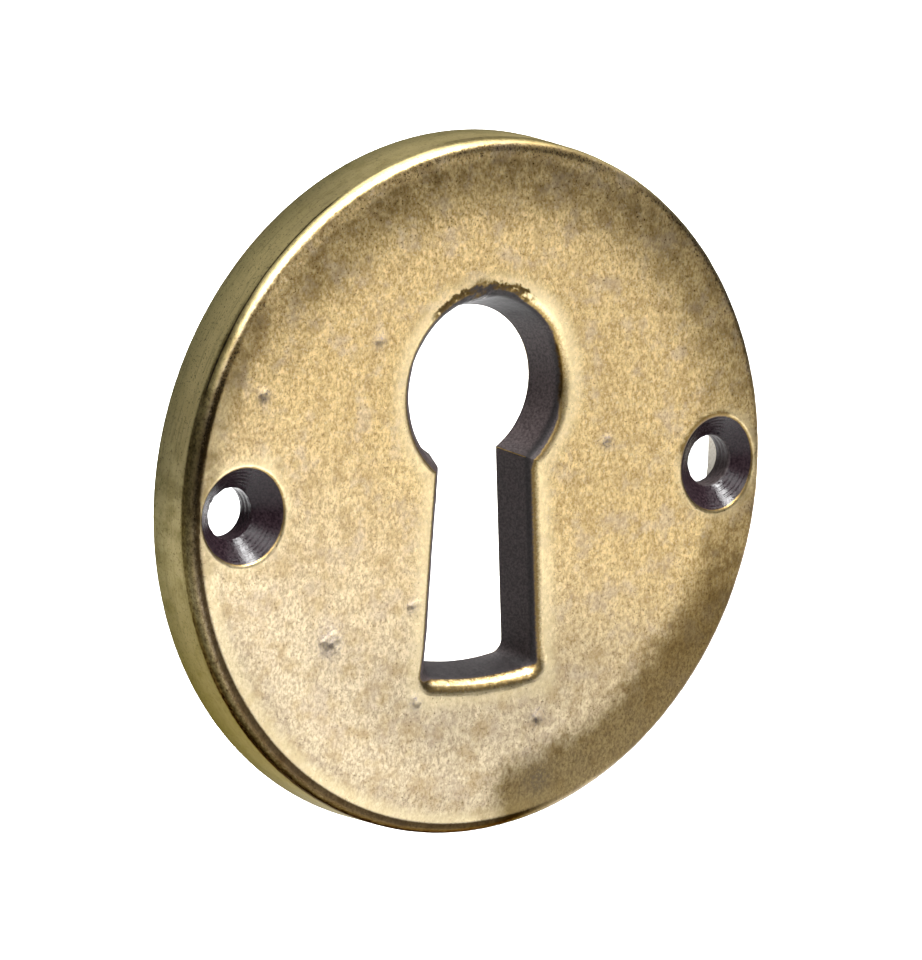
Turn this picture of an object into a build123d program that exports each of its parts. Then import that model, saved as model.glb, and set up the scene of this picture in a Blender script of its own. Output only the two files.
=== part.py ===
"""Round keyhole escutcheon: one cast plate, crowned towards its rim and hollowed at the back,
with a keyhole that narrows inwards from rounded lips and two countersunk screw holes.

The plate stands as it is fixed to a door or drawer. Its front faces -Y, +Z is up, and the origin
is the centre of the back, on the plane that meets the wood. Lengths are in millimetres.
"""
import math
import os

from build123d import *

# The plate
plate_diameter = 40.0
plate_thickness = 4.1
crown_width = 5.5
crown_drop = 0.42
side_draft = 2.0
front_edge_round = 0.9
back_edge_chamfer = 0.2

# The hollow in the back, inside the rim that bears on the wood
rim_width = 1.2
recess_depth = 1.7
recess_draft = 8.0

# The keyhole, measured at the front face before its lips are rounded
keyhole_head_diameter = 10.8
keyhole_head_height = 5.75
slot_bottom_width = 8.0
slot_bottom_drop = 10.8
slot_bottom_bow = 0.35
slot_flare = 3.5
slot_corner_round = 0.6
neck_round = 0.6
keyhole_draft = 21.0
lip_round = 0.8

# The two screw holes, side by side on the horizontal diameter, set in from the rim
screw_inset = 3.35
screw_hole_diameter = 2.9
countersink_diameter = 5.7
countersink_angle = 100.0

# How far a cutting shape runs past the surface that it opens
cut_overrun = 0.5

plate_radius = plate_diameter / 2
front_radius = plate_radius - (plate_thickness - crown_drop) * math.tan(math.radians(side_draft))
face_radius = front_radius - crown_width
crown_radius = (crown_width**2 + crown_drop**2) / (2 * crown_drop)
recess_radius = plate_radius - rim_width
recess_floor_radius = recess_radius - recess_depth * math.tan(math.radians(recess_draft))
web_thickness = plate_thickness - recess_depth
screw_reach = plate_radius - screw_inset


def face_y(radius):
    """Y of the front face at a distance from the plate's centre: flat, then a tangent crown."""
    along_crown = max(0.0, radius - face_radius)
    return crown_radius - math.sqrt(crown_radius**2 - along_crown**2) - plate_thickness


def plate_blank():
    """The plate before it is pierced: its half section, with soft edges, turned about Y."""
    front_centre = (0, -plate_thickness)
    crown_start = (face_radius, -plate_thickness)
    front_edge = (front_radius, face_y(front_radius))
    back_edge = (plate_radius, 0)
    recess_edge = (recess_radius, 0)
    recess_corner = (recess_floor_radius, -recess_depth)
    recess_centre = (0, -recess_depth)
    outline = [
        Line(front_centre, crown_start),
        TangentArc(crown_start, front_edge, tangent=(1, 0)),
        Polyline(front_edge, back_edge, recess_edge, recess_corner, recess_centre, front_centre),
    ]
    section = make_face(outline)
    section = fillet(section.vertices().sort_by_distance(front_edge)[0], front_edge_round)
    section = chamfer(section.vertices().sort_by_distance(back_edge)[0], back_edge_chamfer)
    return revolve(section, Axis.Y)


def keyhole_outline(inset):
    """The keyhole drawn in by an inset: a round head over a slot that flares downwards."""
    flare = math.radians(slot_flare)
    bottom = slot_bottom_drop - inset
    bottom_half = slot_bottom_width / 2 - inset * (math.tan(flare) + 1 / math.cos(flare))
    top_half = bottom_half - (keyhole_head_height + bottom) * math.tan(flare)
    bottom_left = (-bottom_half, -bottom)
    bottom_right = (bottom_half, -bottom)
    top_right = (top_half, keyhole_head_height)
    top_left = (-top_half, keyhole_head_height)
    bow = (0, -bottom - slot_bottom_bow)
    slot = make_face([
        ThreePointArc(bottom_left, bow, bottom_right),
        Polyline(bottom_right, top_right, top_left, bottom_left),
    ])
    # The circle's seam is turned down into the slot, so that only the necks break its line.
    head_centre = (0, keyhole_head_height)
    head = Pos(*head_centre) * Rot(0, 0, -90) * Circle(keyhole_head_diameter / 2 - inset)
    outline = head + slot
    outline = fillet(outline.vertices().sort_by(Axis.Y)[:2], slot_corner_round)
    necks = outline.vertices().sort_by_distance(head_centre)[:2]
    return fillet(necks, neck_round)


def keyhole_cutter():
    """The keyhole's space, narrowing from the front face to past the hollow's floor."""
    inwards = Plane((0, -plate_thickness, 0), x_dir=(-1, 0, 0), z_dir=(0, 1, 0))
    depth = web_thickness + cut_overrun
    front = inwards * keyhole_outline(0)
    back = inwards * Pos(0, 0, depth) * keyhole_outline(depth * math.tan(math.radians(keyhole_draft)))
    return loft([front, back], ruled=True)


def screw_hole_cutter(x):
    """A countersunk hole at x: a cone from the crowned face down to a straight hole."""
    hole_radius = screw_hole_diameter / 2
    sink_slope = math.tan(math.radians(countersink_angle / 2))
    sink_depth = (countersink_diameter / 2 - hole_radius) / sink_slope
    mouth_radius = countersink_diameter / 2 + cut_overrun * sink_slope
    seat = Plane((x, face_y(screw_reach) + sink_depth, 0), x_dir=(1, 0, 0), z_dir=(0, -1, 0))
    upwards = (Align.CENTER, Align.CENTER, Align.MIN)
    downwards = (Align.CENTER, Align.CENTER, Align.MAX)
    sink = Cone(hole_radius, mouth_radius, sink_depth + cut_overrun, align=upwards)
    shank = Cylinder(hole_radius, plate_thickness, align=downwards)
    return seat * (sink + shank)


def escutcheon_plate():
    """The finished casting."""
    plate = plate_blank() - keyhole_cutter()
    front_face = plate.faces().filter_by(GeomType.PLANE).sort_by(Axis.Y)[0]
    plate = fillet(front_face.inner_wires()[0].edges(), lip_round)
    for x in (-screw_reach, screw_reach):
        plate -= screw_hole_cutter(x)
    return plate


os.makedirs("parts", exist_ok=True)
export_step(escutcheon_plate(), "parts/escutcheon_plate.step")
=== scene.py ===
"""A round keyhole escutcheon: one antiqued brass casting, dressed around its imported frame."""

import math
from types import SimpleNamespace

import bmesh
import bpy
from mathutils import Matrix, Vector, noise


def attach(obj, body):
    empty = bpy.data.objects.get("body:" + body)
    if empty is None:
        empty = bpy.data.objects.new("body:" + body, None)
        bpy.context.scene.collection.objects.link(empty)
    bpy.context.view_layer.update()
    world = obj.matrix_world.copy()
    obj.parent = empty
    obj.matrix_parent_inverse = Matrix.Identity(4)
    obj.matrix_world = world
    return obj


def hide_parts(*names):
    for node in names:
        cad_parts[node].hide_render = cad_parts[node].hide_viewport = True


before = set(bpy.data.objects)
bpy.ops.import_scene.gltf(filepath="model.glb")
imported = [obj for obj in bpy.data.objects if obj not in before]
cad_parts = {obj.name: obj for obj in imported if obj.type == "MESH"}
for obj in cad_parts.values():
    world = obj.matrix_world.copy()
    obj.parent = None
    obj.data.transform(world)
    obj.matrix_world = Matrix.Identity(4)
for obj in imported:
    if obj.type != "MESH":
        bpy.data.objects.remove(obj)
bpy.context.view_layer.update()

# The keyhole is cast through the plate: a round head over a slot that flares downwards, with crisp
# necks between them. Its walls narrow inwards and its lip is rubbed round, most of all at the bottom.
# Lengths are millimetres until the mesh is finished, and the walls are rings grown from the lip.
face_y = -4.1
floor_y = -1.7
wall_draft = math.radians(21)
lip_round = 0.8
bottom_lip_round = 1.05
bottom_rub_start = -8.6
bottom_rub_full = -10.6
head_z = 5.75
head_radius = 5.4
slot_flare = math.tan(math.radians(3.5))
slot_lean = math.hypot(1, slot_flare)
slot_bottom = -10.8
slot_bottom_half = 4.0
slot_bow = 0.35
slot_corner_round = 0.6
neck_round = 0.05
bottom_steps = 26
corner_steps = 12
side_steps = 84
neck_steps = 4
head_steps = 116
lip_steps = 12
wall_steps = 14


def ramp(low, high, value):
    """Soft step from 0 at low to 1 at high, which may lie either way round."""
    t = min(1.0, max(0.0, (value - low) / (high - low)))
    return t * t * (3 - 2 * t)


def arc_points(x, z, radius, start, end, steps):
    """Points on an arc after its first one; turns are from +X towards +Z."""
    turns = [start + (end - start) * n / steps for n in range(1, steps + 1)]
    return [(x + radius * math.cos(t), z + radius * math.sin(t)) for t in turns]


def keyhole_ring(outset, depth):
    """Points round the keyhole at a depth, its outline grown by an outset, from the bottom's middle."""
    radius = head_radius + outset
    bottom = slot_bottom - outset
    side_x = slot_bottom_half + slot_bottom * slot_flare + outset * slot_lean
    corner = slot_corner_round + max(0.0, outset)
    corner_z = bottom + corner
    corner_x = side_x - corner_z * slot_flare - corner * slot_lean
    lean = math.atan(slot_flare)
    neck_line = side_x + neck_round * slot_lean
    middle = (neck_line * slot_flare + head_z) / slot_lean**2
    reach = (neck_line**2 + head_z**2 - (radius + neck_round) ** 2) / slot_lean**2
    neck_z = middle - math.sqrt(middle**2 - reach)
    neck_x = neck_line - neck_z * slot_flare
    neck_turn = math.atan2(neck_z - head_z, neck_x)
    side_start = Vector((corner_x + corner * math.cos(lean), corner_z + corner * math.sin(lean)))
    side_end = Vector((neck_x - neck_round * math.cos(lean), neck_z - neck_round * math.sin(lean)))
    half = [(corner_x * n / bottom_steps, bottom) for n in range(bottom_steps + 1)]
    half += arc_points(corner_x, corner_z, corner, -math.pi / 2, lean, corner_steps)
    half += [side_start.lerp(side_end, n / side_steps).to_tuple() for n in range(1, side_steps + 1)]
    half += arc_points(neck_x, neck_z, neck_round, math.pi + lean, math.pi + neck_turn, neck_steps)
    half += arc_points(0, head_z, radius, neck_turn, math.pi / 2, head_steps)
    bowed = []
    for x, z in half:
        sag = max(0.0, 1 - (x / (slot_bottom_half + outset)) ** 2) if z < corner_z else 0.0
        bowed.append(Vector((x, face_y + depth, z - slot_bow * sag)))
    return bowed + [Vector((-p.x, p.y, p.z)) for p in reversed(bowed[1:-1])]


def lip_setback(lip):
    """How far outside the keyhole's outline a lip of a given round begins."""
    return lip * math.tan((math.pi / 2 - wall_draft) / 2)


def keyhole_walls(lip):
    """Rings down the keyhole from the face: a lip of a given round, then the drafted wall."""
    rings = []
    for step in range(lip_steps + 1):
        turn = (math.pi / 2 - wall_draft) * step / lip_steps
        depth = lip * (1 - math.cos(turn))
        rings.append(keyhole_ring(lip_setback(lip) - lip * math.sin(turn), depth))
    for step in range(1, wall_steps + 1):
        below = depth + (floor_y - face_y - depth) * step / wall_steps
        rings.append(keyhole_ring(-below * math.tan(wall_draft), below))
    return rings


keyhole_rings = keyhole_walls(lip_round)
for ring, rubbed in zip(keyhole_rings, keyhole_walls(bottom_lip_round)):
    for n, point in enumerate(ring):
        ring[n] = point.lerp(rubbed[n], ramp(bottom_rub_start, bottom_rub_full, point.z))
around = len(keyhole_rings[0])

plate = bmesh.new()


def grow(rim, lines):
    """Extrude a rim ring by ring: each of its points, as a key, has the line of points it follows."""
    for n in range(len(next(iter(lines.values())))):
        grown = bmesh.ops.extrude_edge_only(plate, edges=rim)["geom"]
        rim = [e for e in grown if isinstance(e, bmesh.types.BMEdge) and e.is_boundary]
        moved = {}
        for vert in {v for e in rim for v in e.verts}:
            line = lines[vert.co.to_tuple(4)]
            vert.co = line[n]
            moved[vert.co.to_tuple(4)] = line
        lines = moved


lip_verts = [plate.verts.new(point) for point in keyhole_rings[0]]
lip_edges = [plate.edges.new((lip_verts[n - 1], lip_verts[n])) for n in range(around)]
grow(lip_edges, {rings[0].to_tuple(4): rings[1:] for rings in zip(*keyhole_rings)})

# The plate round the keyhole is a turned form: a flat middle, a crown that falls away to a rounded
# front edge, a drafted side, a narrow bearing rim and a hollow back. Its half section is spun about
# the axis, and the flat face and the hollow's floor are grown out from the keyhole to meet it.
plate_radius = 20.0
side_draft = math.radians(2)
crown_width = 5.5
crown_drop = 0.42
edge_round = 0.64
back_chamfer = 0.2
rim_width = 1.2
hollow_draft = math.radians(8)
face_rings = 40
floor_rings = 14
crown_steps = 22
edge_steps = 14
front_radius = plate_radius + (face_y + crown_drop) * math.tan(side_draft)
face_radius = front_radius - crown_width
crown_radius = (crown_width**2 + crown_drop**2) / (2 * crown_drop)
crown_centre = Vector((face_radius, face_y + crown_radius, 0))
edge_inset = edge_round / math.cos(side_draft)
edge_centre = Vector((plate_radius - edge_inset, face_y + crown_drop, 0))
for refine in range(20):
    fall = math.sqrt((crown_radius - edge_round) ** 2 - (edge_centre.x - face_radius) ** 2)
    edge_centre.y = crown_centre.y - fall
    edge_centre.x = plate_radius - edge_inset + edge_centre.y * math.tan(side_draft)
crown_turn = math.atan2(edge_centre.x - face_radius, crown_centre.y - edge_centre.y)
crown_end = face_radius + crown_radius * math.sin(crown_turn)
side_turn = math.pi / 2 - side_draft - crown_turn
hollow_radius = plate_radius - rim_width
floor_radius = hollow_radius + floor_y * math.tan(hollow_draft)


def front_y(reach):
    """Y of the front surface at a distance from the plate's axis: flat, then crown, then edge round."""
    if reach <= face_radius:
        return face_y
    if reach <= crown_end:
        return crown_centre.y - math.sqrt(crown_radius**2 - (reach - face_radius) ** 2)
    return edge_centre.y - math.sqrt(max(0.0, edge_round**2 - (reach - edge_centre.x) ** 2))


def even_turns(rim, x, z):
    """A rim's vertices in order round a centre, each with its even turn about it."""
    ring = sorted({v for e in rim for v in e.verts}, key=lambda v: math.atan2(v.co.z - z, v.co.x - x))
    stride = 2 * math.pi / len(ring)
    start = sum(math.atan2(v.co.z - z, v.co.x - x) - n * stride for n, v in enumerate(ring)) / len(ring)
    start = stride * round(start / stride)
    return [(v, start + n * stride) for n, v in enumerate(ring)]


keyhole_middle = 2.0
level_tolerance = 0.01
keyhole_rims = [e for e in plate.edges if e.is_boundary]
for depth, rim_reach, rings in ((face_y, face_radius, face_rings), (floor_y, floor_radius, floor_rings)):
    rim = [e for e in keyhole_rims if abs(e.verts[0].co.y - depth) < level_tolerance]
    lines = {}
    for vert, turn in even_turns(rim, 0, keyhole_middle):
        end = Vector((rim_reach * math.cos(turn), depth, rim_reach * math.sin(turn)))
        lines[vert.co.to_tuple(4)] = [vert.co.lerp(end, n / rings) for n in range(1, rings + 1)]
    grow(rim, lines)
rib_end = plate.verts.new((face_radius, face_y, 0))
for centre, turn, steps in ((crown_centre, crown_turn, crown_steps), (edge_centre, side_turn, edge_steps)):
    arc = bmesh.ops.spin(plate, geom=[rib_end], cent=centre, axis=(0, 0, 1), angle=turn, steps=steps)
    rib_end = arc["geom_last"][0]
# The straight runs of the section: side, back chamfer, bearing rim and the hollow's wall, each with
# the reach and Y that it ends at and its number of steps.
straight_runs = (
    (plate_radius - back_chamfer * math.sin(side_draft), -back_chamfer * math.cos(side_draft), 13),
    (plate_radius - back_chamfer, 0, 2),
    (hollow_radius, 0, 5),
    (floor_radius, floor_y, 7),
)
for reach, depth, steps in straight_runs:
    stride = (Vector((reach, depth, 0)) - rib_end.co) / steps
    run = bmesh.ops.spin(plate, geom=[rib_end], axis=(0, 0, 1), dvec=stride, angle=0, steps=steps)
    rib_end = run["geom_last"][0]
half_section = [e for e in plate.edges if e.is_wire]
half_section += [v for v in plate.verts if v.is_wire]
bmesh.ops.spin(plate, geom=half_section, cent=(0, 0, 0), axis=(0, 1, 0), angle=2 * math.pi,
               steps=around, use_merge=True)
bmesh.ops.remove_doubles(plate, verts=plate.verts[:], dist=0.002)

# The two screw holes are drilled and countersunk after casting. Each cone breaks the crown in a bent
# oval with a rubbed lip, carries fine rings from the cutter and ends at a burred throat.
hole_radius = 1.45
screw_reach = 16.65
sink_radius = 2.85
sink_slope = math.tan(math.radians(50))
seat_y = front_y(screw_reach) + (sink_radius - hole_radius) / sink_slope
sink_lip = 0.12
throat_round = 0.07
cutter_ring_height = 0.006
cutter_ring_way = Vector((-0.64, -0.77))
throat_ring_height = 0.03
throat_foot = 0.12
lip_rings = 5
cone_rings = 30
bend_rings = 4
throat_rings = 14
hole_zone = 4.0
relaxed_zone = 4.3
relaxed_reach = 19.4
sink_trim = 0.08
floor_trim = 0.3
front_level = floor_y - 1


def sink_point(hole_x, turn, reach):
    """A point of the front surface, by its turn and distance from a hole's axis."""
    x = hole_x + reach * math.cos(turn)
    z = reach * math.sin(turn)
    return Vector((x, front_y(math.hypot(x, z)), z))


def sink_mouth(hole_x, turn):
    """Distance from a hole's axis at which its cone meets the front surface."""
    reach = sink_radius
    for refine in range(30):
        cone_reach = hole_radius + (seat_y - sink_point(hole_x, turn, reach).y) * sink_slope
        reach = (reach + cone_reach) / 2
    return reach


def bend(start, corner, end, steps):
    """Points after the first on the soft curve that rounds a corner."""
    along = [n / steps for n in range(1, steps + 1)]
    return [start.lerp(corner, t).lerp(corner.lerp(end, t), t) for t in along]


def sink_section(hole_x, turn):
    """The line down into a hole at one turn: rubbed lip, ringed cone, soft edge and throat."""
    mouth = sink_mouth(hole_x, turn)
    lip_start = Vector((mouth + sink_lip, sink_point(hole_x, turn, mouth + sink_lip).y))
    lip_corner = Vector((mouth, seat_y - (mouth - hole_radius) / sink_slope))
    throat_corner = Vector((hole_radius, seat_y))
    slant = (throat_corner - lip_corner).normalized()
    cone_start = lip_corner + slant * sink_lip
    cone_end = throat_corner - slant * throat_round
    throat_start = throat_corner + Vector((0, throat_round))
    throat_end = Vector((hole_radius, floor_y))
    rings = bend(lip_start, lip_corner, cone_start, lip_rings)
    for n in range(1, cone_rings + 1):
        ring = cone_start.lerp(cone_end, n / cone_rings)
        # Two waves that beat stand for the cutter's uneven rings.
        cut = math.sin(31 * ring.x) + 0.6 * math.sin(47 * ring.x + 2)
        fade = min(1, n / 4, (cone_rings - n) / 3)
        broken = 0.7 + 1.2 * noise.noise((2.1 * math.cos(turn), 2.1 * math.sin(turn), 1.6 * ring.x))
        rings.append(ring + cutter_ring_way * cutter_ring_height * cut * fade * broken)
    rings += bend(cone_end, throat_corner, throat_start, bend_rings)
    for n in range(1, throat_rings + 1):
        ring = throat_start.lerp(throat_end, n / throat_rings)
        cut = math.sin(17 * ring.y)
        fade = min(1, n / 2, (throat_rings - n) / 4)
        broken = 0.6 + noise.noise((3 * math.cos(turn), 3 * math.sin(turn), 9 * ring.y))
        rings.append(ring + Vector((throat_ring_height * cut * fade * broken, 0)))
    rings.append(throat_end + Vector((throat_foot, 0)))
    return [Vector((hole_x + r.x * math.cos(turn), r.y, r.x * math.sin(turn))) for r in rings]


for hole_x in (-screw_reach, screw_reach):
    inside = []
    for vert in plate.verts:
        turn = math.atan2(vert.co.z, vert.co.x - hole_x)
        reach = math.hypot(vert.co.z, vert.co.x - hole_x)
        if vert.co.y < front_level and reach < hole_zone:
            if reach < sink_mouth(hole_x, turn) + sink_lip + sink_trim:
                inside.append(vert)
    bmesh.ops.delete(plate, geom=inside, context="VERTS")
    rim = [e for e in plate.edges if e.is_boundary]
    lines = {}
    for vert, turn in even_turns(rim, hole_x, 0):
        vert.co = sink_point(hole_x, turn, sink_mouth(hole_x, turn) + sink_lip)
        lines[vert.co.to_tuple(4)] = sink_section(hole_x, turn)
    around_hole = [v for v in plate.verts if v.co.y < front_level and not v.is_boundary
                   and math.hypot(v.co.z, v.co.x - hole_x) < relaxed_zone
                   and math.hypot(v.co.x, v.co.z) < relaxed_reach]
    for relax in range(8):
        bmesh.ops.smooth_vert(plate, verts=around_hole, factor=0.5, use_axis_x=True, use_axis_z=True)
    for vert in around_hole:
        vert.co.y = front_y(math.hypot(vert.co.x, vert.co.z))
    inside = [v for v in plate.verts if abs(v.co.y - floor_y) < level_tolerance
              and math.hypot(v.co.z, v.co.x - hole_x) < hole_radius + floor_trim]
    bmesh.ops.delete(plate, geom=inside, context="VERTS")
    grow(rim, lines)
    bmesh.ops.triangle_fill(plate, edges=[e for e in plate.edges if e.is_boundary], use_beauty=True)
bmesh.ops.recalc_face_normals(plate, faces=plate.faces[:])

# Handling and casting leave small marks in the metal: pits and dents in the face, each with a mesh
# fine enough to hold it, and a rough broken stub on the keyhole's head where the casting was gated.
# A mark is its x and z on the face, its radius and its depth.
marks = (
    (-15.3, 6.76, 0.28, 0.09),
    (-10.56, -7.62, 0.6, 0.09),
    (-4.94, -6.18, 0.3, 0.06),
    (-4.59, -11.7, 0.36, 0.05),
    (3.9, -13.5, 0.36, 0.05),
    (-7.54, 9.21, 0.3, 0.04),
    (8.41, 2.09, 0.3, 0.04),
    (4.15, -17.16, 0.7, 0.01),
)
stub = Vector((-0.6, -3.6, 11.0))
stub_reach = 1.25
stub_height = 0.24


def near_mark(point):
    """True where the mesh has to be fine enough for a mark."""
    if (point - stub).length < 1.5 * stub_reach:
        return True
    on_front = point.y < front_level
    return on_front and any(math.hypot(point.x - x, point.z - z) < 2.2 * r for x, z, r, d in marks)


marked = {e for f in plate.faces if near_mark(f.calc_center_median()) for e in f.edges}
bmesh.ops.subdivide_edges(plate, edges=[e for e in plate.edges if e in marked], cuts=2, use_grid_fill=True)
plate.normal_update()


def zone(rise, full, fade, end, value):
    """Soft band: 0 up to rise, 1 from full to fade, and 0 again from end."""
    return ramp(rise, full, value) * (1 - ramp(fade, end, value))


def low_lip(co):
    """1 on the keyhole's bottom lip."""
    return ramp(-10.3, -10.9, co.z)


def scored_arc(turn):
    """1 along the stretch of the upper left edge that carries a scored line."""
    return zone(114, 124, 156, 168, turn)


def surface_lift(spot, patina):
    """How far the metal stands out or in: slight waves, rough walls, a scored side, burred throats."""
    co = spot.co
    lift = 0.012 * noise.noise(co * 0.22) + 0.006 * noise.noise(co * 0.7)
    if spot.in_key:
        lift += 0.014 * low_lip(co) * (1 - ramp(0.6, 0.8, spot.depth)) * noise.noise(co * 4.3)
        lift += patina * (0.03 * noise.noise(co * 0.9) + 0.012 * noise.noise(co * 3.1))
    if spot.outer:
        lift += 0.012 * noise.noise(co * 1.7)
        score = math.exp(-(((co.y + 3.17) / 0.05) ** 2)) * scored_arc(spot.turn)
        lift -= 0.04 * score * (0.7 + noise.noise(co * 0.8))
    if spot.in_sink and spot.hole_reach < hole_radius + 0.14 and abs(co.y - seat_y) < 0.25:
        lift += 0.035 * noise.noise(co * 4.1)
    return lift


def mark_lift(spot, masks):
    """The same for the marks and the stub, which also leave their own greyed and broken finish."""
    co = spot.co
    lift = 0.0
    if co.y < front_level:
        for x, z, r, d in marks:
            away = math.hypot(co.x - x, co.z - z) / r
            if away < 3:
                lift -= d * math.exp(-away * away) * (1 + 0.9 * noise.noise(co * 2.6))
                masks["scar"] = max(masks["scar"], math.exp(-0.5 * away * away))
    away = (co - stub).length / stub_reach
    if away < 1.6:
        bulge = math.exp(-2.2 * away * away)
        lift += stub_height * bulge * (0.5 + 0.7 * noise.noise(co * 1.5) + 0.28 * noise.noise(co * 3.7))
        broken = 0.3 + 0.16 * noise.noise(co * 2.6)
        masks["patina"] += (broken - masks["patina"]) * min(1.0, 1.6 * bulge)
    return lift


# The casting was blackened all over and rubbed back by hand, so its finish lies unevenly. Each vertex
# carries masks of how it stands there. Turns are degrees round the axis, from +X towards +Z.
# Some masks paint light and shade, not finish: the paleness of the face and side is painted light, and
# much darkening of crown, lower half, side and keyhole walls is painted shade.
lip_depth = lip_round * (1 - math.sin(wall_draft))
wall_height = floor_y - face_y - lip_depth
side_foot = bottom_steps + corner_steps
neck_end = side_foot + side_steps + neck_steps
neck_point = min(range(side_foot, neck_end + 1), key=lambda n: keyhole_rings[-1][n].x)
key_reach = 13.5
sink_zone = 3.0
edge_reach = 18.9
edge_back = -2.5
open_depth = 0.3
wall_start = 0.02


def key_gap(x, z):
    """Distance from a point of the face to the keyhole's lip."""
    setback = lip_setback(lip_round)
    low_z = slot_bottom - setback - slot_bow
    half = slot_bottom_half + setback + (slot_bottom - max(z, low_z)) * slot_flare
    slot_gap = math.hypot(max(0.0, low_z - z), max(0.0, abs(x) - half)) if z < head_z else 99.0
    return min(slot_gap, max(0.0, math.hypot(x, z - head_z) - head_radius - setback))


def survey(vert):
    """Where a vertex lies: its reach and turn round the axis, its depth under the face, its region."""
    co = vert.co.copy()
    reach = math.hypot(co.x, co.z)
    depth = co.y - front_y(min(reach, plate_radius - 0.02))
    hole_reach = math.hypot(abs(co.x) - screw_reach, co.z)
    inward = co.y > floor_y - level_tolerance and reach < floor_radius + 0.4 and vert.normal.y > -0.3
    in_sink = hole_reach < sink_zone and depth > wall_start and co.y < floor_y + level_tolerance
    in_sink = in_sink and (reach < edge_reach or depth < 0.6)
    in_sink = in_sink and not (inward and hole_reach > hole_radius + 0.05)
    return SimpleNamespace(
        co=co,
        facing=math.hypot(vert.normal.x, vert.normal.z),
        reach=reach,
        turn=math.degrees(math.atan2(co.z, co.x)),
        depth=depth,
        hole_reach=hole_reach,
        inward=inward,
        in_sink=in_sink,
        in_key=reach < key_reach and depth > wall_start and not inward,
        outer=reach > edge_reach and not in_sink,
    )


def keyhole_finish(spot):
    """Black walls under a rubbed lip, worn bright at the bottom and on the necks' ridges, with painted
    shade on the walls and the bottom lip.
    """
    co = spot.co
    depth = spot.depth
    bottom = low_lip(co)
    left_lip = ramp(-0.5, -2.2, co.x) * (1 - bottom)
    top_lip = ramp(2.6, 0.8, co.x) * ramp(9.4, 10.3, co.z)
    low_head = ramp(1, 2, co.x) * zone(0.8, 1.6, 3, 5, co.z)
    right_lip = ramp(1.5, 3, co.x) * (1 - ramp(7.5, 9, co.z)) * (1 - bottom)
    blacker = 1 + 3 * max(left_lip, top_lip) + low_head - 0.45 * right_lip * ramp(1.2, 2.6, co.z)
    patina = min(1.0, min(1.0, depth) * blacker)
    worn = 0.15 * zone(0.01, 0.07, 0.2, 0.3, depth) + ramp(0.58, 0.75, depth)
    patina += (worn - patina) * bottom
    if depth > lip_depth:
        level = lip_steps + round(wall_steps * (depth - lip_depth) / wall_height)
        neck = keyhole_rings[min(len(keyhole_rings) - 1, level)][neck_point]
        ridge = math.hypot(abs(co.x) - neck.x, co.z - neck.z)
        patina *= 1 - 0.97 * (1 - ramp(0.03, 0.085, ridge))
    # Painted shade on the walls: half on the slot's sides, full under the head's top, along the right
    # lip's edge and on the upward bottom wall; a little on the bottom lip.
    right_edge = right_lip * (1 - ramp(0.5, 0.8, depth))
    wall_shade = max(0.5 * ramp(2.4, 1.2, co.z), ramp(8.4, 10.0, co.z), right_edge)
    wall_shade *= ramp(0.2, 0.34, depth) * (1 - bottom)
    tarnish_and_shade = max(wall_shade, ramp(-9.6, -10.4, co.z) * ramp(0.55, 0.75, depth))
    return {"patina": patina, "tarnish_and_shade": tarnish_and_shade, "painted_shade": 0.3 * bottom}


def sink_finish(spot):
    """Glossy black cones; the left hole's throat is glossy too, and the right one's is dull."""
    glossy_cone = ramp(hole_radius + 0.02, hole_radius + 0.12, spot.hole_reach)
    return {"patina": min(1.0, 2.4 * spot.depth), "sink": max(glossy_cone, ramp(4, -4, spot.co.x))}


def edge_finish(spot):
    """The front edge: a dark band at the lower left, painted shade in the scored line, dark specks at the
    top, and painted shade in specks at the right.
    """
    co = spot.co
    reach = spot.reach
    low_left = zone(135, 168, 268, 300, spot.turn % 360)
    low_left *= 0.79 + 0.21 * ramp(192, 225, spot.turn % 360)
    band = ramp(19.1, 19.36, reach) * (1 - 0.35 * ramp(19.3, 19.75, reach)) * low_left
    band *= 1 - ramp(-2.85, -2.7, co.y)
    # The scored line is painted dark, as shade in its crease.
    score = scored_arc(spot.turn) * math.exp(-(((co.y + 3.12) / 0.05) ** 2))
    top_specks = 0.42 * zone(58, 74, 92, 112, spot.turn) * ramp(19.0, 19.3, reach)
    # Painted shade along the right of the rim, carrying on the crown's shade, broken into specks by the
    # grain.
    right_rim_shade = 0.4 * ramp(19.1, 19.5, reach) * (1 - ramp(50, 72, abs(spot.turn + 4)))
    rub = zone(18.2, 18.9, 19.1, 19.3, reach) * low_left
    return {"edge": max(band, score, top_specks, right_rim_shade), "rub": rub}


def face_finish(spot):
    """Tarnish and painted shade on the crown, most of both at the lower right, and painted shade over the
    lower half.
    """
    co = spot.co
    turn = spot.turn
    # Painted shade on the crown: darkest at the lower right, lighter at the top, and a band of its own at
    # the upper left.
    right_crown_shade = 1 - ramp(80, 95, abs(turn)) if turn < 0 else 1 - ramp(124, 174, turn)
    right_crown_shade *= 0.47 + 0.63 * ramp(2, -42, turn) + 0.05 * ramp(70, 105, turn)
    right_crown_shade *= 1 - ramp(18.6, 19.1, spot.reach) * ramp(40, 70, turn)
    left_shade = 0.62 * zone(130, 150, 176, 200, turn % 360) * ramp(17.0, 19.0, spot.reach)
    tarnish_and_shade = max(ramp(14.0, 17.8, spot.reach) * right_crown_shade, left_shade)
    # Painted shade over the lower half of the face, less towards the right and where the crown is already
    # shaded.
    painted_shade = ramp(-4, -12, co.z) * (0.26 + 0.28 * ramp(-11, -1, co.x)) * (1 - 0.35 * ramp(3, 9, co.x))
    painted_shade += 0.12 * ramp(0, 8, co.x) + 0.3 * ramp(16.5, 18.5, spot.reach) * ramp(-2, -8, co.z)
    return {"tarnish_and_shade": tarnish_and_shade, "painted_shade": painted_shade * (1 - 0.5 * tarnish_and_shade)}


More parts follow.
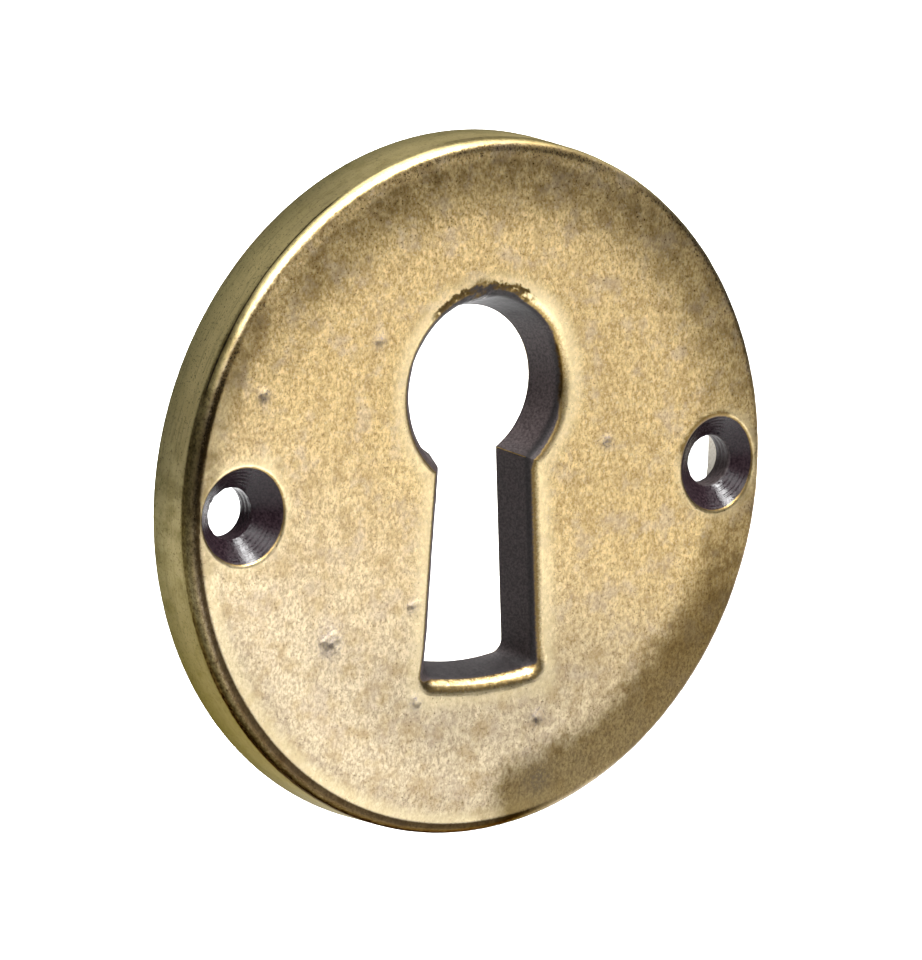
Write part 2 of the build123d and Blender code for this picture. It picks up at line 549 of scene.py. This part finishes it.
def age_side(spot, masks):
    """The side: darker at its top, painted shade at its bottom and again low down, and painted light above
    the middle.
    """
    z = spot.co.z
    # Painted shade darkens the lower side and painted light makes it paler above the middle; its top is
    # darker too.
    low_side = 0.46 * ramp(3, -11, z) + 0.4 * ramp(8, 18, z)
    masks["tarnish_and_shade"] = max(masks["tarnish_and_shade"], low_side * masks["side"])
    masks["painted_shade"] = ramp(5, -7, z) * masks["side"]
    masks["pale"] = 0.8 * zone(1, 8, 13, 18, z)


def crust_gate(spot, masks):
    """A ragged dark crust on the face where the casting was broken from its gate."""
    co = spot.co
    gate = zone(-4.6, -1.8, 0.8, 3.6, co.x) * ramp(8.4, 10.4, co.z)
    if gate > 0:
        gap = key_gap(co.x, co.z) + 0.2 * noise.noise(co * 2.7) + 0.12 * noise.noise(co * 6.1)
        crust = (1 - ramp(0.0, 0.06 + 0.18 * gate, gap)) * min(1.0, 3 * gate)
        masks["patina"] = max(masks["patina"], 0.2 * crust)
        masks["tarnish_and_shade"] = max(masks["tarnish_and_shade"], 0.8 * crust)


def rub_sink_lip(spot, masks):
    """Rubbed metal round the countersinks, dark over the right one, and a painted glint on the left one.
    """
    co = spot.co
    masks["rub"] = max(masks["rub"], 1 - ramp(2.8, 3.5, spot.hole_reach))
    if co.x > 0:
        mouth = sink_mouth(screw_reach, math.atan2(co.z, co.x - screw_reach))
        dark_top = ramp(17.8, 16.6, co.x) * ramp(-0.4, 1.6, co.z)
        dark_top *= 1 - ramp(0.05, 0.3, spot.hole_reach - mouth + 0.1 * noise.noise(co * 3))
        masks["patina"] = max(masks["patina"], 0.19 * dark_top)
    # A painted glint on the left countersink's upper right lip, added to the rub mask.
    glint = math.exp(-((co.x + 15.0) ** 2 + (co.z - 2.9) ** 2) / 0.7)
    masks["rub"] = min(1.6, masks["rub"] + 1.4 * glint * (0.5 + noise.noise(co * 3.3)))


mask_names = ("patina", "sink", "tarnish_and_shade", "edge", "side", "back", "rub", "scar", "pale", "painted_shade")
layers = {name: plate.verts.layers.float.new(name) for name in mask_names}


def finish_masks(spot):
    """All the masks at a spot, each from 0 to about 1."""
    co = spot.co
    open_front = spot.depth < open_depth
    masks = dict.fromkeys(mask_names, 0.0)
    if spot.in_key:
        masks.update(keyhole_finish(spot))
    if spot.in_sink:
        masks.update(sink_finish(spot))
    if spot.inward:
        masks["back"] = 1.0
    if spot.outer and co.y < -0.001:
        masks["side"] = ramp(0.5, 0.95, spot.facing)
    if spot.reach > 18 and co.y < edge_back and not spot.in_sink:
        masks.update(edge_finish(spot))
    if open_front and not spot.in_key:
        masks.update(face_finish(spot))
    if masks["side"] > 0:
        age_side(spot, masks)
    if open_front and spot.reach < 13:
        crust_gate(spot, masks)
    if open_front and spot.reach < 16:
        # A painted highlight on the face beside the head's upper right lip raises the rub mask there.
        head_glint = math.exp(-((co.x - 3.9) ** 2 + (co.z - 10.3) ** 2) / 3)
        masks["rub"] = (1 + 0.6 * head_glint) * (1 - ramp(0.0, 1.1, key_gap(co.x, co.z)))
    if open_front:
        # Painted light: the face turns paler towards the lower left.
        low_painted_light = ramp(2, -15, co.z + 0.45 * co.x) * (1 - masks["side"])
        masks["pale"] = max(masks["pale"], low_painted_light)
    if spot.depth < 0.15 and spot.hole_reach < hole_zone:
        rub_sink_lip(spot, masks)
    return masks


moves = []
for vert in plate.verts:
    spot = survey(vert)
    masks = finish_masks(spot)
    lift = surface_lift(spot, masks["patina"]) + mark_lift(spot, masks)
    if spot.inward or abs(spot.co.y) < 0.001:
        lift = 0.0
    moves.append(lift)
    for name, layer in layers.items():
        vert[layer] = masks[name]
for vert, lift in zip(plate.verts, moves):
    vert.co += vert.normal * lift
largest_reach = plate_radius - 0.01
for vert in plate.verts:
    reach = math.hypot(vert.co.x, vert.co.z)
    if reach > largest_reach:
        vert.co.x *= largest_reach / reach
        vert.co.z *= largest_reach / reach
    vert.co.y = min(0.0, max(face_y, vert.co.y))
metres = 0.001
bmesh.ops.scale(plate, vec=(metres, metres, metres), verts=plate.verts[:])
for facet in plate.faces:
    facet.smooth = True
mesh = bpy.data.meshes.new("escutcheon_plate_worn")
plate.to_mesh(mesh)
plate.free()
mesh.set_sharp_from_angle(angle=math.radians(38))
escutcheon = bpy.data.objects.new("escutcheon_plate_worn", mesh)
bpy.context.scene.collection.objects.link(escutcheon)
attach(escutcheon, "root")
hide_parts("escutcheon_plate")

# Antique brass: bright rubbed metal with a fine dark grain shows on the open surfaces, an olive tone
# on the side, a dark band along the lower left edge, and a purple black in the holes and recesses.
brass = bpy.data.materials.new("antique_brass")
brass.use_nodes = True
nodes = brass.node_tree.nodes
links = brass.node_tree.links
shader = nodes["Principled BSDF"]
coords = nodes.new("ShaderNodeTexCoord")


def connect(source, socket):
    """Link a socket to an input, or set the input to a plain value."""
    if isinstance(source, bpy.types.NodeSocket):
        links.new(source, socket)
    else:
        socket.default_value = source


def attribute(name):
    """A mask that the mesh carries on its vertices."""
    made = nodes.new("ShaderNodeAttribute")
    made.attribute_name = name
    return made.outputs["Fac"]


def grain(scale, detail, rough, stretch=(1, 1, 1), tilt=(0, 0, 0)):
    """Noise whose scale is grains to the millimetre, stretched and tilted in the plate's frame."""
    place = nodes.new("ShaderNodeMapping")
    connect(coords.outputs["Object"], place.inputs["Vector"])
    connect(tilt, place.inputs["Rotation"])
    connect([s / metres for s in stretch], place.inputs["Scale"])
    made = nodes.new("ShaderNodeTexNoise")
    connect(place.outputs["Vector"], made.inputs["Vector"])
    connect(scale, made.inputs["Scale"])
    connect(detail, made.inputs["Detail"])
    connect(rough, made.inputs["Roughness"])
    return made.outputs["Fac"]


def spread(value, low, high, bottom=0.0, top=1.0):
    """Stretch a value from one range to another, softly clamped."""
    made = nodes.new("ShaderNodeMapRange")
    made.interpolation_type = "SMOOTHSTEP"
    connect(value, made.inputs["Value"])
    connect(low, made.inputs["From Min"])
    connect(high, made.inputs["From Max"])
    connect(bottom, made.inputs["To Min"])
    connect(top, made.inputs["To Max"])
    return made.outputs["Result"]


def mix(fac, first, second, kind="RGBA", blend="MIX"):
    """Mix two colours or two values by a mask. The node has its own sockets for each kind."""
    made = nodes.new("ShaderNodeMix")
    made.data_type = kind
    made.blend_type = blend
    first_input, second_input, output = (6, 7, 2) if kind == "RGBA" else (2, 3, 0)
    connect(fac, made.inputs[0])
    connect(first, made.inputs[first_input])
    connect(second, made.inputs[second_input])
    return made.outputs[output]


def shaded(fac, colour, shade):
    """Darken a colour by a shade, where a mask says so, with its grain kept."""
    return mix(fac, colour, shade, blend="MULTIPLY")


def reckon(operation, first, second):
    """Combine two masks or values, clamped to 0 and 1."""
    made = nodes.new("ShaderNodeMath")
    made.operation = operation
    made.use_clamp = True
    connect(first, made.inputs[0])
    connect(second, made.inputs[1])
    return made.outputs[0]


fine = grain(7.0, 3, 0.65)
fibre = grain(1.0, 4, 0.72, stretch=(5.6, 5, 3.9), tilt=(0, 0.5, 0))
mottle = grain(0.9, 4, 0.62)
blush = grain(0.5, 4, 0.65)
streaks = grain(1.0, 3, 0.55, stretch=(0.35, 6, 0.35))
pale = attribute("pale")
side = attribute("side")
tarnish_and_shade = attribute("tarnish_and_shade")
sunk = attribute("sink")

# The open face: gold fibres, brown mottling, a grey blush, bright and dark flecks, rubbed lips with some
# painted highlights, and painted light that makes it paler towards the lower left.
brown_mottle = (0.42, 0.285, 0.125, 1)
grey_blush = (0.52, 0.42, 0.32, 1)
bright_fleck = (0.98, 0.84, 0.54, 1)
dark_fleck = (0.20, 0.13, 0.065, 1)
rubbed_gold_and_glint = (0.92, 0.77, 0.46, 1)
scar_grey = (0.36, 0.31, 0.30, 1)
# The pale mask paints light: these golds turn paler towards the face's lower left.
low_gold = mix(pale, (0.36, 0.233, 0.087, 1), (0.40, 0.31, 0.205, 1))
high_gold = mix(pale, (0.86, 0.652, 0.316, 1), (0.90, 0.755, 0.505, 1))
gold = mix(spread(fibre, 0.31, 0.69), low_gold, high_gold)
gold = mix(spread(mottle, 0.45, 0.7, 0, 0.55), gold, brown_mottle)
gold = mix(spread(blush, 0.5, 0.66, 0, 0.4), gold, grey_blush)
gold = mix(spread(fine, 0.55, 0.7, 0, 0.6), gold, bright_fleck)
gold = mix(spread(fine, 0.44, 0.3, 0, 0.7), gold, dark_fleck)
# Rubbed metal round the lips, with painted highlights by the head's upper right lip and the left
# countersink.
gold = mix(reckon("MULTIPLY", attribute("rub"), 0.5), gold, rubbed_gold_and_glint)
scar_grain = spread(fine, 0.35, 0.6, 0.9, 0.2)
gold = mix(reckon("MULTIPLY", attribute("scar"), scar_grain), gold, scar_grey)

# The side: olive metal, flecked and streaked round the rim, darker towards its back edge.
low_olive = (0.33, 0.275, 0.125, 1)
high_olive = (0.54, 0.455, 0.235, 1)
painted_light_olive = (0.84, 0.70, 0.33, 1)
bright_olive_fleck = (0.76, 0.64, 0.33, 1)
dark_olive_fleck = (0.15, 0.12, 0.06, 1)
olive_streak = (0.20, 0.17, 0.08, 1)
back_edge_shade = (0.45, 0.48, 0.46, 1)
olive = mix(spread(mottle, 0.35, 0.65), low_olive, high_olive)
# The pale mask paints light on the side, paler above its middle.
olive = mix(pale, olive, painted_light_olive)
olive = mix(spread(fine, 0.55, 0.7, 0, 0.4), olive, bright_olive_fleck)
olive = mix(spread(fine, 0.47, 0.3, 0, 0.75), olive, dark_olive_fleck)
olive = mix(spread(streaks, 0.5, 0.7, 0, 0.35), olive, olive_streak)
axes = nodes.new("ShaderNodeSeparateXYZ")
connect(coords.outputs["Object"], axes.inputs[0])
olive = shaded(spread(axes.outputs["Y"], -0.0022, -0.0002, 0, 0.7), olive, back_edge_shade)
gold = mix(side, gold, olive)

# Tarnish mixed with painted shade, a grey painted shade low down, and the dark edge band lie over both,
# and the hollow back keeps its dull cast skin.
painted_shade_grey = (0.42, 0.42, 0.42, 1)
tarnish_and_shade_tone = (0.25, 0.222, 0.15, 1)
band_shade = (0.07, 0.054, 0.034, 1)
low_cast = (0.31, 0.285, 0.235, 1)
high_cast = (0.50, 0.465, 0.395, 1)
# Painted shade: a grey darkening of the lower face, the lower side and the keyhole's bottom lip.
gold = shaded(attribute("painted_shade"), gold, painted_shade_grey)
# Tarnish and painted shade darken the metal through one mask.
dull = reckon("ADD", tarnish_and_shade, spread(mottle, 0.35, 0.7, -0.12, 0.12))
gold = shaded(spread(dull, 0.0, 1.0), gold, tarnish_and_shade_tone)
# The edge mask also holds painted shade in the scored line and along the right of the rim.
band = spread(reckon("ADD", attribute("edge"), reckon("MULTIPLY", fibre, 0.6)), 0.45, 1.05)
gold = shaded(band, gold, band_shade)
cast_skin = mix(spread(fine, 0.3, 0.7), low_cast, high_cast)
gold = mix(attribute("back"), gold, cast_skin)

# The patina: a brown fringe, then black that is no longer metal, dull on walls, glossy in the cones.
fringe_shade = (0.26, 0.22, 0.145, 1)
low_black = (0.018, 0.0135, 0.0135, 1)
high_black = (0.046, 0.0355, 0.0355, 1)
black_tarnish_and_shade_tone = (0.36, 0.39, 0.395, 1)
low_purple = (0.006, 0.003, 0.0045, 1)
high_purple = (0.019, 0.0115, 0.014, 1)
inner = reckon("ADD", attribute("patina"), reckon("MULTIPLY", fine, 0.22))
gold = shaded(spread(inner, 0.1, 0.27), gold, fringe_shade)
black = spread(inner, 0.28, 0.4)
shade = mix(spread(fine, 0.3, 0.7), low_black, high_black)
# Painted shade darkens parts of the keyhole's walls here, as does the crust at the head.
shade = shaded(tarnish_and_shade, shade, black_tarnish_and_shade_tone)
sunk_shade = mix(spread(fine, 0.35, 0.65), low_purple, high_purple)
shade = mix(sunk, shade, sunk_shade)

# The gloss: satin on the open metal, sharper on the edge band and in the cones, dulled on the side.
rough_open = mix(attribute("edge"), spread(fine, 0.3, 0.75, 0.27, 0.42), 0.22, "FLOAT")
rough_open = mix(side, rough_open, 0.45, "FLOAT")
rough_black = mix(sunk, 0.5, spread(fine, 0.35, 0.65, 0.13, 0.27), "FLOAT")
glance = mix(side, (1, 1, 1, 1), (0.48, 0.45, 0.36, 1))
relief = nodes.new("ShaderNodeBump")
relief.inputs["Strength"].default_value = 0.35
relief.inputs["Distance"].default_value = 0.00003
connect(fine, relief.inputs["Height"])
connect(mix(black, gold, shade), shader.inputs["Base Color"])
connect(reckon("SUBTRACT", 1.0, black), shader.inputs["Metallic"])
connect(mix(black, rough_open, rough_black, "FLOAT"), shader.inputs["Roughness"])
connect(mix(band, glance, (0.36, 0.29, 0.19, 1)), shader.inputs["Specular Tint"])
connect(relief.outputs["Normal"], shader.inputs["Normal"])
shader.inputs["Specular IOR Level"].default_value = 0.15
mesh.materials.append(brass)

# The floor is a plain pale sheet of studio paper, and not part of the object. It lies far enough
# below the plate that no shadow reaches the view.
floor_size = 6.0
floor_z = -0.14
floor_mesh = bpy.data.meshes.new("floor")
sheet = bmesh.new()
bmesh.ops.create_grid(sheet, x_segments=1, y_segments=1, size=floor_size)
bmesh.ops.translate(sheet, vec=(0, 0, floor_z), verts=sheet.verts[:])
sheet.to_mesh(floor_mesh)
sheet.free()
floor = bpy.data.objects.new("floor", floor_mesh)
bpy.context.scene.collection.objects.link(floor)
paper = bpy.data.materials.new("pale_paper")
paper.use_nodes = True
paper_shader = paper.node_tree.nodes["Principled BSDF"]
paper_shader.inputs["Base Color"].default_value = (0.86, 0.86, 0.86, 1)
paper_shader.inputs["Roughness"].default_value = 0.9
paper_shader.inputs["Specular IOR Level"].default_value = 0.0
floor_mesh.materials.append(paper)

# Three soft boxes stand over the plate, left, above and right, and a small one gives the sparks in
# the holes. Two narrow beams light only the floor: behind the plate, and in front of its face.
# A lamp is its name, place, aim, width, height, beam in degrees and power in watts.
lamps = (
    ("left_box", (-0.44, -0.60, 0.70), (0, 0, 0), 0.95, 0.75, 50, 2.0),
    ("top_box", (-0.10, -0.30, 0.96), (0, 0, 0), 0.8, 0.6, 50, 1.0),
    ("right_box", (0.58, 0.02, 0.84), (0, 0, 0), 0.6, 0.5, 50, 0.8),
    ("spark_box", (0.25, -0.55, 0.92), (0, 0, 0), 0.36, 0.36, 50, 2.3),
    ("back_beam", (0.62, 0.85, 1.5), (0.62, 0.85, floor_z), 1.2, 1.2, 60, 26.0),
    ("front_beam", (0.40, -0.84, 1.2), (0.40, -0.84, floor_z), 0.5, 0.5, 45, 4.5),
)
for name, place, aim, width, height, beam, power in lamps:
    lamp = bpy.data.lights.new(name, "AREA")
    lamp.shape = "RECTANGLE"
    lamp.size = width
    lamp.size_y = height
    lamp.spread = math.radians(beam)
    lamp.energy = power
    holder = bpy.data.objects.new(name, lamp)
    holder.location = place
    holder.rotation_euler = (Vector(aim) - Vector(place)).to_track_quat("-Z", "Y").to_euler()
    bpy.context.scene.collection.objects.link(holder)
world = bpy.data.worlds.new("studio")
world.use_nodes = True
world.node_tree.nodes["Background"].inputs["Color"].default_value = (1, 1, 1, 1)
world.node_tree.nodes["Background"].inputs["Strength"].default_value = 0.12
bpy.context.scene.world = world
bpy.context.scene.view_settings.view_transform = "Standard"

# The camera stands to the left and a little above, at a long lens's distance, as in the photograph.
# It is placed by its turn, drop and roll, its distance from the plate, and its offset in millimetres.
camera_turn = math.radians(35.946)
camera_drop = math.radians(10.666)
camera_roll = math.radians(1.257)
camera_distance = 500
camera_right = 0.943
camera_down = 0.112
look = Vector((
    math.sin(camera_turn) * math.cos(camera_drop),
    math.cos(camera_turn) * math.cos(camera_drop),
    -math.sin(camera_drop),
))
level = Vector((math.cos(camera_turn), -math.sin(camera_turn), 0))
upright = level.cross(look)
right = level * math.cos(camera_roll) + upright * math.sin(camera_roll)
up = upright * math.cos(camera_roll) - level * math.sin(camera_roll)
stand = (right * camera_right - up * camera_down - look * camera_distance) * metres
lens = bpy.data.cameras.new("camera")
lens.sensor_fit = "HORIZONTAL"
lens.sensor_width = 36
lens.lens = 344.1
lens.clip_start = 0.01
lens.clip_end = 50
camera = bpy.data.objects.new("camera", lens)
camera.matrix_world = Matrix.Translation(stand) @ Matrix((right, up, -look)).transposed().to_4x4()
bpy.context.scene.collection.objects.link(camera)
bpy.context.scene.camera = camera
